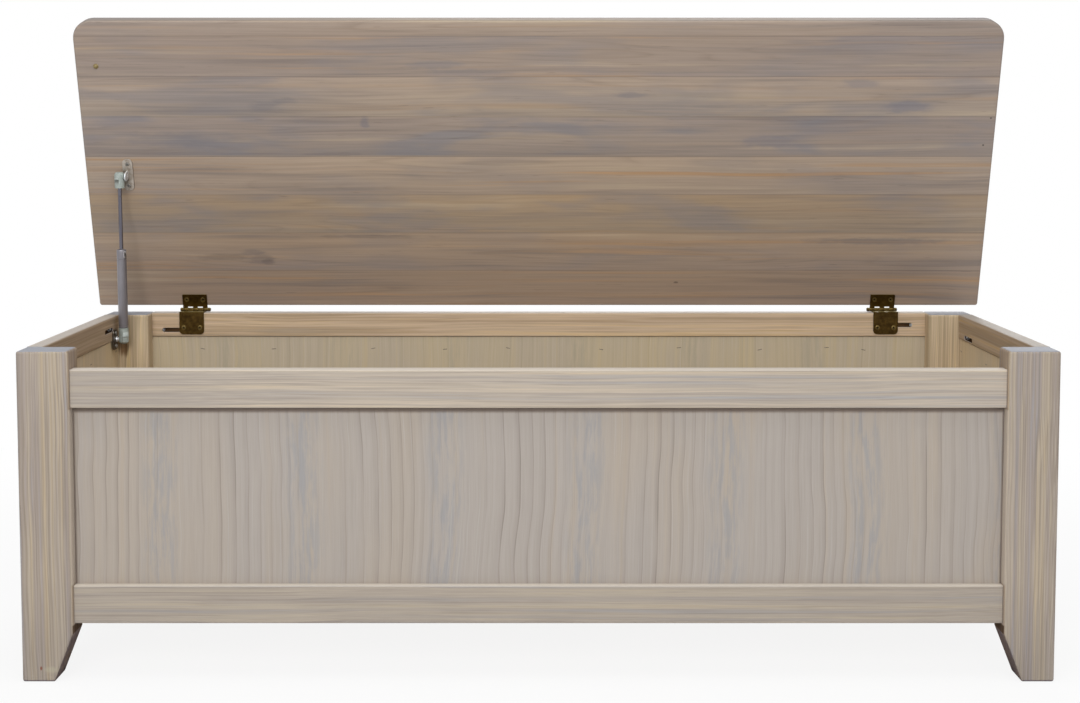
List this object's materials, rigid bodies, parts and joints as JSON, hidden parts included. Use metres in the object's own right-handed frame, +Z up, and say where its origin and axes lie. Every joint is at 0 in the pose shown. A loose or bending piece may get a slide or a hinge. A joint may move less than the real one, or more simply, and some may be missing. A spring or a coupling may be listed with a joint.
{
  "type": "lift-lid blanket chest",
  "caption": "Long framed pine chest on four posts, with panelled sides, a lift-up lid on cranked hinges and a gas strut that holds the lid open.",
  "frame": {"origin": "on the floor, under the middle of the chest's whole box with the lid open", "axes": "+X to the right as seen from the front, +Y to the back, +Z up"},
  "size_m": [1.44, 0.48, 0.9228],
  "materials": {
    "washed_pine": "grey-washed pine under satin lacquer, straight grain along each piece",
    "washed_ply": "grey-washed flat-sawn pine veneer, upright grain",
    "floor_ply": "thin pine ply, lightly washed",
    "cleat_pine": "plain sawn pine",
    "lid_pine": "grey-washed pine staves glued edge to edge, satin lacquer",
    "hinge_bronze": "dark antique bronze plating",
    "zinc_steel": "bright zinc",
    "strut_grey": "smooth grey paint",
    "socket_nylon": "pale grey moulded nylon",
    "bumper_rubber": "small amber rubber stop"
  },
  "bodies": {
    "carcass": {"post_front_left": "washed_pine", "post_front_right": "washed_pine", "post_back_left": "washed_pine", "post_back_right": "washed_pine", "rail_front_top": "washed_pine", "rail_front_bottom": "washed_pine", "rail_back_top": "washed_pine", "rail_back_bottom": "washed_pine", "rail_left_top": "washed_pine", "rail_left_bottom": "washed_pine", "rail_right_top": "washed_pine", "rail_right_bottom": "washed_pine", "panel_front": "washed_ply", "panel_back": "washed_ply", "panel_left": "washed_ply", "panel_right": "washed_ply", "floor_panel": "floor_ply", "cleat_front": "cleat_pine", "cleat_back": "cleat_pine", "cleat_left": "cleat_pine", "cleat_right": "cleat_pine", "pocket_screw_front_top_left": "zinc_steel", "pocket_screw_front_top_right": "zinc_steel", "pocket_screw_back_top_left": "zinc_steel", "pocket_screw_back_top_right": "zinc_steel", "pocket_screw_left_top_front": "zinc_steel", "pocket_screw_left_top_back": "zinc_steel", "pocket_screw_right_top_front": "zinc_steel", "pocket_screw_right_top_back": "zinc_steel", "hinge_left_rail_leaf": "hinge_bronze", "hinge_right_rail_leaf": "hinge_bronze", "hinge_left_pin": "hinge_bronze", "hinge_right_pin": "hinge_bronze", "hinge_left_rail_screw_outer": "hinge_bronze", "hinge_left_rail_screw_inner": "hinge_bronze", "hinge_right_rail_screw_outer": "hinge_bronze", "hinge_right_rail_screw_inner": "hinge_bronze", "strut_side_bracket": "zinc_steel", "strut_side_screw_upper": "zinc_steel", "strut_side_screw_lower": "zinc_steel"},
    "lid": {"lid": "lid_pine", "hinge_left_lid_leaf": "hinge_bronze", "hinge_right_lid_leaf": "hinge_bronze", "hinge_left_lid_screw_outer": "hinge_bronze", "hinge_left_lid_screw_inner": "hinge_bronze", "hinge_right_lid_screw_outer": "hinge_bronze", "hinge_right_lid_screw_inner": "hinge_bronze", "strut_lid_bracket": "zinc_steel", "strut_lid_screw_upper": "zinc_steel", "strut_lid_screw_lower": "zinc_steel", "lid_bumper": "bumper_rubber"},
    "strut_body": {"strut_lower_socket": "socket_nylon", "strut_cylinder": "strut_grey", "strut_collar": "strut_grey"},
    "strut_rod": {"strut_rod": "zinc_steel", "strut_piston": "zinc_steel", "strut_upper_socket": "socket_nylon"}
  },
  "joints": [
    {"name": "lid_hinge", "type": "hinge", "parent": "carcass", "child": "lid", "pos_m": [0, 0.21797, 0.4552], "axis": [1, 0, 0], "range_deg": [0, 74.7]},
    {"name": "strut_pivot", "type": "hinge", "parent": "carcass", "child": "strut_body", "pos_m": [-0.664, 0.15437, 0.415], "axis": [1, 0, 0], "range_deg": [0, 78.6]},
    {"name": "strut_slide", "type": "slide", "parent": "strut_body", "child": "strut_rod", "axis": [0, -0.0356, 0.9994], "range_m": [-0.0905, 0], "stiffness_N_per_m": 250, "springref_m": 0.4}
  ],
  "couplings": [
    {"joint": "strut_pivot", "follows": "lid_hinge", "ratio": 1.051},
    {"joint": "strut_slide", "follows": "lid_hinge", "m_per_rad": -0.0692}
  ]
}
